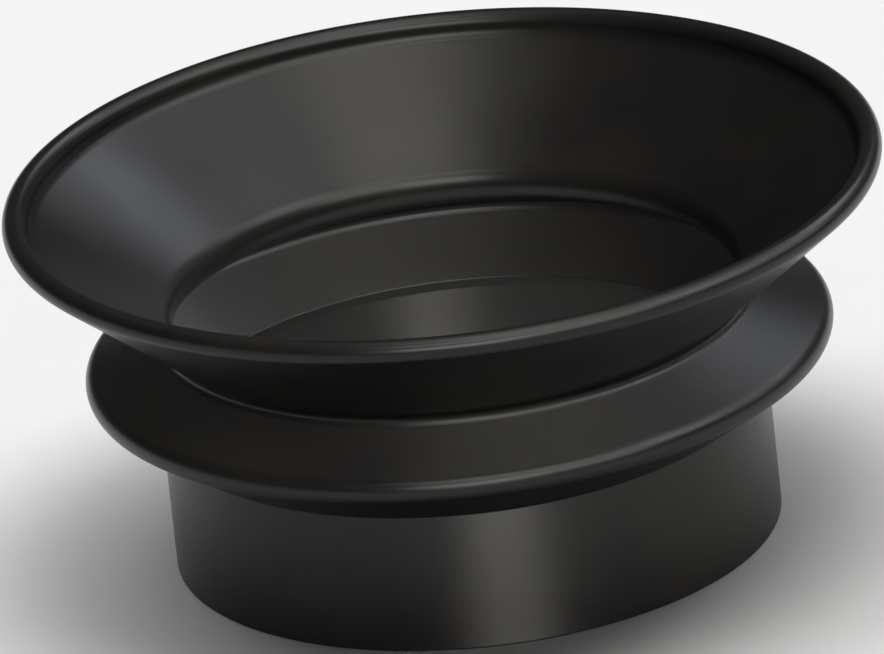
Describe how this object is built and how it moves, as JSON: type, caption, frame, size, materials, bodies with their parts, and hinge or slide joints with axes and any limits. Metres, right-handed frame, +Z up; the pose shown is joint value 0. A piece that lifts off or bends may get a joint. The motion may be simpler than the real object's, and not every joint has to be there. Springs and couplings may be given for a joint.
{
  "type": "kitchen garbage disposal mounting boot",
  "caption": "Round black rubber boot for a kitchen garbage disposal: a straight clamp-on sleeve, an outward bellows fold and a funnel-shaped flare with a beaded rim.",
  "frame": {"origin": "on the boot's axis, level with the sleeve's lower edge", "axes": "+Z up along the boot's axis, from the sleeve to the flared rim; the boot is round, so X and Y are free"},
  "size_m": [0.1312, 0.1312, 0.0577],
  "materials": {
    "moulded_rubber": "satin black moulded rubber"
  },
  "bodies": {
    "sleeve": {"sleeve": "moulded_rubber"},
    "lower_tilt_band": {"lower_wall_inner_band": "moulded_rubber"},
    "lower_sway_band": {"lower_wall_middle_band": "moulded_rubber"},
    "crest": {"lower_wall_outer_band": "moulded_rubber", "crest_ring": "moulded_rubber"},
    "upper_stroke_band": {"upper_wall_outer_band": "moulded_rubber"},
    "upper_tilt_band": {"upper_wall_middle_band": "moulded_rubber"},
    "flare": {"upper_wall_inner_band": "moulded_rubber", "waist_ring": "moulded_rubber", "flare_wall": "moulded_rubber", "rim_neck": "moulded_rubber", "rim_bead": "moulded_rubber"}
  },
  "joints": [
    {"name": "lower_tilt", "type": "hinge", "parent": "sleeve", "child": "lower_tilt_band", "pos_m": [0, 0, 0.0236], "axis": [1, 0, 0], "range_deg": [-1.8, 1.8], "stiffness_Nm_per_rad": 5, "deforming": ["lower_wall_inner_band"]},
    {"name": "lower_sway", "type": "hinge", "parent": "lower_tilt_band", "child": "lower_sway_band", "pos_m": [0, 0, 0.0236], "axis": [0, 1, 0], "range_deg": [-1.8, 1.8], "stiffness_Nm_per_rad": 5, "deforming": ["lower_wall_middle_band"]},
    {"name": "lower_stroke", "type": "slide", "parent": "lower_sway_band", "child": "crest", "axis": [0, 0, 1], "range_m": [-0.0021, 0.0015], "stiffness_N_per_m": 4000, "deforming": ["lower_wall_outer_band"]},
    {"name": "upper_stroke", "type": "slide", "parent": "crest", "child": "upper_stroke_band", "axis": [0, 0, 1], "range_m": [-0.0014, 0.001], "stiffness_N_per_m": 6000, "deforming": ["upper_wall_outer_band"]},
    {"name": "upper_tilt", "type": "hinge", "parent": "upper_stroke_band", "child": "upper_tilt_band", "pos_m": [0, 0, 0.0342], "axis": [1, 0, 0], "range_deg": [-1.2, 1.2], "stiffness_Nm_per_rad": 7.5, "deforming": ["upper_wall_middle_band"]},
    {"name": "upper_sway", "type": "hinge", "parent": "upper_tilt_band", "child": "flare", "pos_m": [0, 0, 0.0342], "axis": [0, 1, 0], "range_deg": [-1.2, 1.2], "stiffness_Nm_per_rad": 7.5, "deforming": ["upper_wall_inner_band"]}
  ],
  "couplings": [
    {"joint": "upper_stroke", "follows": "lower_stroke", "ratio": 0.6666},
    {"joint": "upper_tilt", "follows": "lower_tilt", "ratio": 0.6666},
    {"joint": "upper_sway", "follows": "lower_sway", "ratio": 0.6666}
  ]
}
